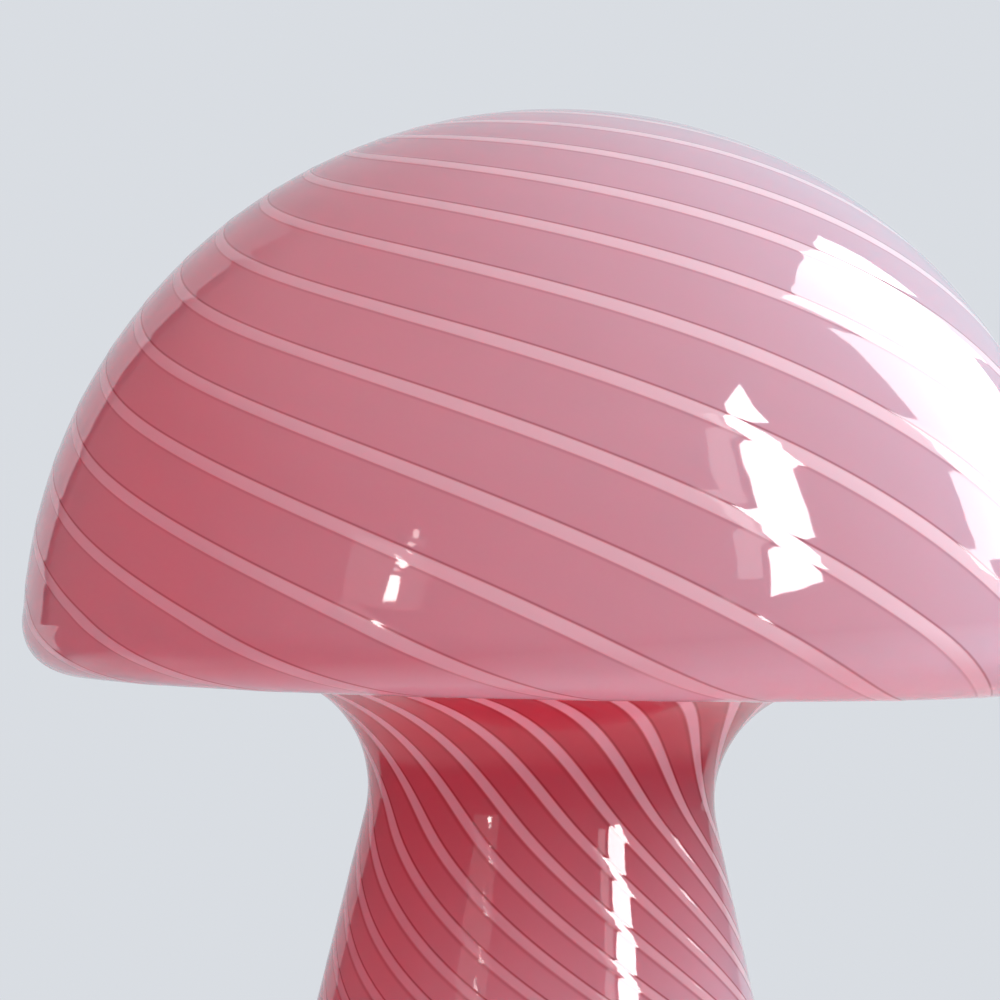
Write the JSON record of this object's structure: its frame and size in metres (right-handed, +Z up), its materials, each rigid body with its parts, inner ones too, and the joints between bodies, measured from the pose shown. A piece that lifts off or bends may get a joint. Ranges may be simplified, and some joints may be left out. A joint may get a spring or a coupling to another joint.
{
  "type": "mushroom table lamp",
  "caption": "Mushroom table lamp: a one-piece blown-glass cap and stem with swirled stripes, on a small round base with a screw-in bulb inside.",
  "frame": {"origin": "middle of the foot ring on the table top, on the lamp's axis", "axes": "+Z up along the lamp's axis; +Y towards the cord's way in; -Y is the front"},
  "size_m": [0.22, 0.22, 0.265],
  "materials": {
    "pink_glass": "glossy cased glass, pink with opal stripes",
    "white_moulding": "fine moulded satin",
    "holder_plastic": "glossy thermoset",
    "ceramic": "glazed ceramic",
    "soft_rubber": "matt",
    "silicone": "matt translucent",
    "zinc_steel": "zinc plated",
    "white_tube": "satin lacquer",
    "contact_brass": "bright",
    "clear_glass": "clear",
    "nickel_shell": "bright",
    "black_insulator": "glossy",
    "phosphor": "matt",
    "lead_wire": "bright",
    "board": "matt"
  },
  "bodies": {
    "base": {"base_housing": "white_moulding", "cord_bush": "soft_rubber", "seat_gasket": "silicone", "base_lid": "white_moulding", "lid_screws": "zinc_steel", "foot_ring": "soft_rubber", "threaded_tube": "zinc_steel", "tube_nut": "zinc_steel", "lock_washer": "zinc_steel", "flat_washer": "zinc_steel", "riser_tube": "white_tube", "holder_dome": "holder_plastic", "grub_screw": "zinc_steel", "contact_insert": "ceramic", "terminal_screws": "contact_brass", "centre_contact": "contact_brass", "side_contact": "contact_brass", "holder_sleeve": "holder_plastic"},
    "glass": {"glass_body": "pink_glass"},
    "bulb_travel": {"bulb_tip": "nickel_shell"},
    "bulb": {"bulb_globe": "clear_glass", "bulb_cap": "nickel_shell", "bulb_insulator": "black_insulator", "bulb_mount": "clear_glass", "led_filaments": "phosphor", "filament_leads": "lead_wire", "driver_board": "board"}
  },
  "joints": [
    {"name": "glass_lift", "type": "slide", "parent": "base", "child": "glass", "axis": [0, 0, 1], "range_m": [0, 0.16]},
    {"name": "bulb_rise", "type": "slide", "parent": "base", "child": "bulb_travel", "axis": [0, 0, 1], "range_m": [0, 0.0113]},
    {"name": "bulb_turn", "type": "hinge", "parent": "bulb_travel", "child": "bulb", "pos_m": [0, 0, 0.0967], "axis": [0, 0, 1], "range_deg": [0, 1440]}
  ],
  "couplings": [
    {"joint": "bulb_rise", "follows": "bulb_turn", "m_per_rad": 0.00044882}
  ]
}
